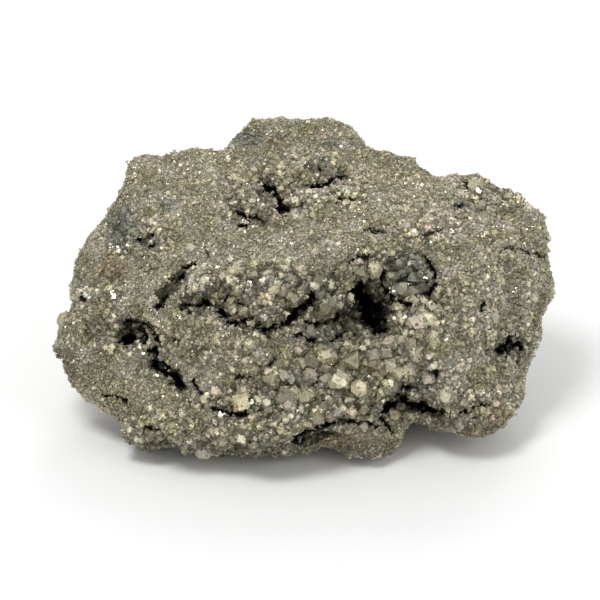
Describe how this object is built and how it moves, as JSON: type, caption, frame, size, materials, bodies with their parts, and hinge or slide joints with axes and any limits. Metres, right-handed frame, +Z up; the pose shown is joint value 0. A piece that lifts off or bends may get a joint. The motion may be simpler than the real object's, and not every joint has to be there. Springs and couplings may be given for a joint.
{
  "type": "pyrite specimen",
  "caption": "Rugged hand-sized chunk of intergrown pyrite crystals with ledges, cracks and a small cave, resting on worn spots of its broken underside.",
  "frame": {"origin": "middle of the footprint's bounding box, on the surface that the specimen rests on", "axes": "+Z up; +X along the longest side; -Y faces the front, which the picture shows from 28 degrees above"},
  "size_m": [0.1014, 0.0684, 0.0531],
  "materials": {
    "pyrite": "granular metallic, greenish grey brass"
  },
  "bodies": {
    "root": {"pyrite_cluster": "pyrite"}
  },
  "joints": []
}
